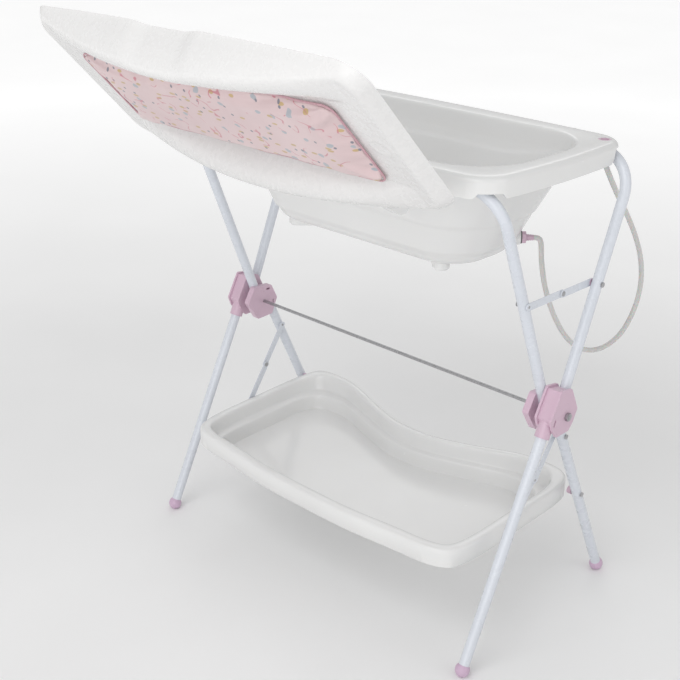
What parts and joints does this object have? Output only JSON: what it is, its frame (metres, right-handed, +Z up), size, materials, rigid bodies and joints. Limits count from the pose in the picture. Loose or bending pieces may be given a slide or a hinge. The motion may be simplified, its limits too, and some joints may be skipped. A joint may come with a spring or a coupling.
{
  "type": "changing table with bath",
  "caption": "Folding changing table: two crossed tube frames carry a baby bath with a drain hose and a hinged padded changing top, over a kidney-shaped tray.",
  "frame": {"origin": "centre of the footprint on the floor, with the changing top open", "axes": "+Z up, +X to the user's right facing the changing top's hinge side, -Y is the front where the open top stands"},
  "size_m": [0.828, 0.8749, 1.0744],
  "materials": {
    "white_plastic": "glossy moulded",
    "frame_paint": "smooth gloss powder coat",
    "pink_plastic": "glossy moulded",
    "foot_plastic": "soft satin",
    "steel": "zinc plated",
    "mat_cover": "printed wipe-clean cover",
    "hose_plastic": "translucent soft tube",
    "gasket_rubber": "matte"
  },
  "bodies": {
    "axle": {"pivot_rod": "steel", "pivot_nuts": "steel"},
    "inner_frame": {"front_upper_frame": "frame_paint", "rear_leg_left": "frame_paint", "rear_leg_right": "frame_paint", "rear_foot_left": "foot_plastic", "rear_foot_right": "foot_plastic", "inner_hub_left": "pink_plastic", "inner_hub_right": "pink_plastic", "inner_frame_pins": "steel"},
    "outer_frame": {"rear_upper_frame": "frame_paint", "front_leg_left": "frame_paint", "front_leg_right": "frame_paint", "front_foot_left": "foot_plastic", "front_foot_right": "foot_plastic", "outer_hub_left": "pink_plastic", "outer_hub_right": "pink_plastic", "outer_frame_pin": "steel"},
    "brace_front_link": {"brace_front": "frame_paint", "brace_rivet": "steel"},
    "brace_rear_link": {"brace_rear": "frame_paint", "brace_spacer": "pink_plastic"},
    "tray_body": {"tray": "white_plastic", "tray_bushes": "pink_plastic"},
    "bath_body": {"bath": "white_plastic", "drain_gasket": "gasket_rubber", "drain_nut": "pink_plastic", "drain_nipple": "pink_plastic", "hose": "hose_plastic", "hose_clip": "pink_plastic", "hinge_brackets": "white_plastic", "hinge_pins": "steel"},
    "top_body": {"changing_top": "white_plastic", "changing_mat": "mat_cover", "hinge_arms": "white_plastic"},
    "stay_upper_link_left": {"stay_upper_left": "frame_paint", "stay_rivet_left": "steel"},
    "stay_lower_link_left": {"stay_lower_left": "frame_paint", "stay_bush_left": "pink_plastic"},
    "stay_upper_link_right": {"stay_upper_right": "frame_paint", "stay_rivet_right": "steel"},
    "stay_lower_link_right": {"stay_lower_right": "frame_paint", "stay_bush_right": "pink_plastic"}
  },
  "joints": [
    {"name": "inner_fold", "type": "hinge", "parent": "axle", "child": "inner_frame", "pos_m": [0, 0.1485, 0.4212], "axis": [-1, 0, 0], "range_deg": [0, 20.5]},
    {"name": "outer_fold", "type": "hinge", "parent": "axle", "child": "outer_frame", "pos_m": [0, 0.1485, 0.4212], "axis": [1, 0, 0], "range_deg": [0, 20.5]},
    {"name": "bath_lift", "type": "slide", "parent": "axle", "child": "bath_body", "axis": [0, 0, 1], "range_m": [0, 0.7156], "deforming": ["hose"]},
    {"name": "top_hinge", "type": "hinge", "parent": "bath_body", "child": "top_body", "pos_m": [0, -0.058, 0.8235], "axis": [1, 0, 0], "range_deg": [-133.5, 0]},
    {"name": "tray_fold", "type": "hinge", "parent": "inner_frame", "child": "tray_body", "pos_m": [0, 0.27364, 0.2062], "axis": [-1, 0, 0], "range_deg": [0, 55]},
    {"name": "brace_front_fold", "type": "hinge", "parent": "inner_frame", "child": "brace_front_link", "pos_m": [0.3749, 0.06285, 0.6332], "axis": [-1, 0, 0], "range_deg": [0, 24.7]},
    {"name": "brace_rear_fold", "type": "hinge", "parent": "brace_front_link", "child": "brace_rear_link", "pos_m": [0.3775, 0.1525, 0.6332], "axis": [1, 0, 0], "range_deg": [0, 174.1]},
    {"name": "stay_upper_fold_left", "type": "hinge", "parent": "inner_frame", "child": "stay_upper_link_left", "pos_m": [-0.3512, 0.2045, 0.3502], "axis": [1, 0, 0], "range_deg": [0, 42.1]},
    {"name": "stay_lower_fold_left", "type": "hinge", "parent": "stay_upper_link_left", "child": "stay_lower_link_left", "pos_m": [-0.3482, 0.15341, 0.27429], "axis": [-1, 0, 0], "range_deg": [0, 153.4]},
    {"name": "stay_upper_fold_right", "type": "hinge", "parent": "inner_frame", "child": "stay_upper_link_right", "pos_m": [0.3512, 0.2045, 0.3502], "axis": [1, 0, 0], "range_deg": [0, 42.1]},
    {"name": "stay_lower_fold_right", "type": "hinge", "parent": "stay_upper_link_right", "child": "stay_lower_link_right", "pos_m": [0.3482, 0.15341, 0.27429], "axis": [-1, 0, 0], "range_deg": [0, 153.4]}
  ],
  "couplings": [
    {"joint": "outer_fold", "follows": "inner_fold", "ratio": 1},
    {"joint": "bath_lift", "follows": "inner_fold", "m_per_rad": 2},
    {"joint": "brace_front_fold", "follows": "inner_fold", "ratio": 1.2025},
    {"joint": "brace_rear_fold", "follows": "inner_fold", "ratio": 8.4895},
    {"joint": "stay_upper_fold_left", "follows": "tray_fold", "ratio": 0.76492},
    {"joint": "stay_lower_fold_left", "follows": "tray_fold", "ratio": 2.7884},
    {"joint": "stay_upper_fold_right", "follows": "tray_fold", "ratio": 0.76492},
    {"joint": "stay_lower_fold_right", "follows": "tray_fold", "ratio": 2.7884}
  ]
}
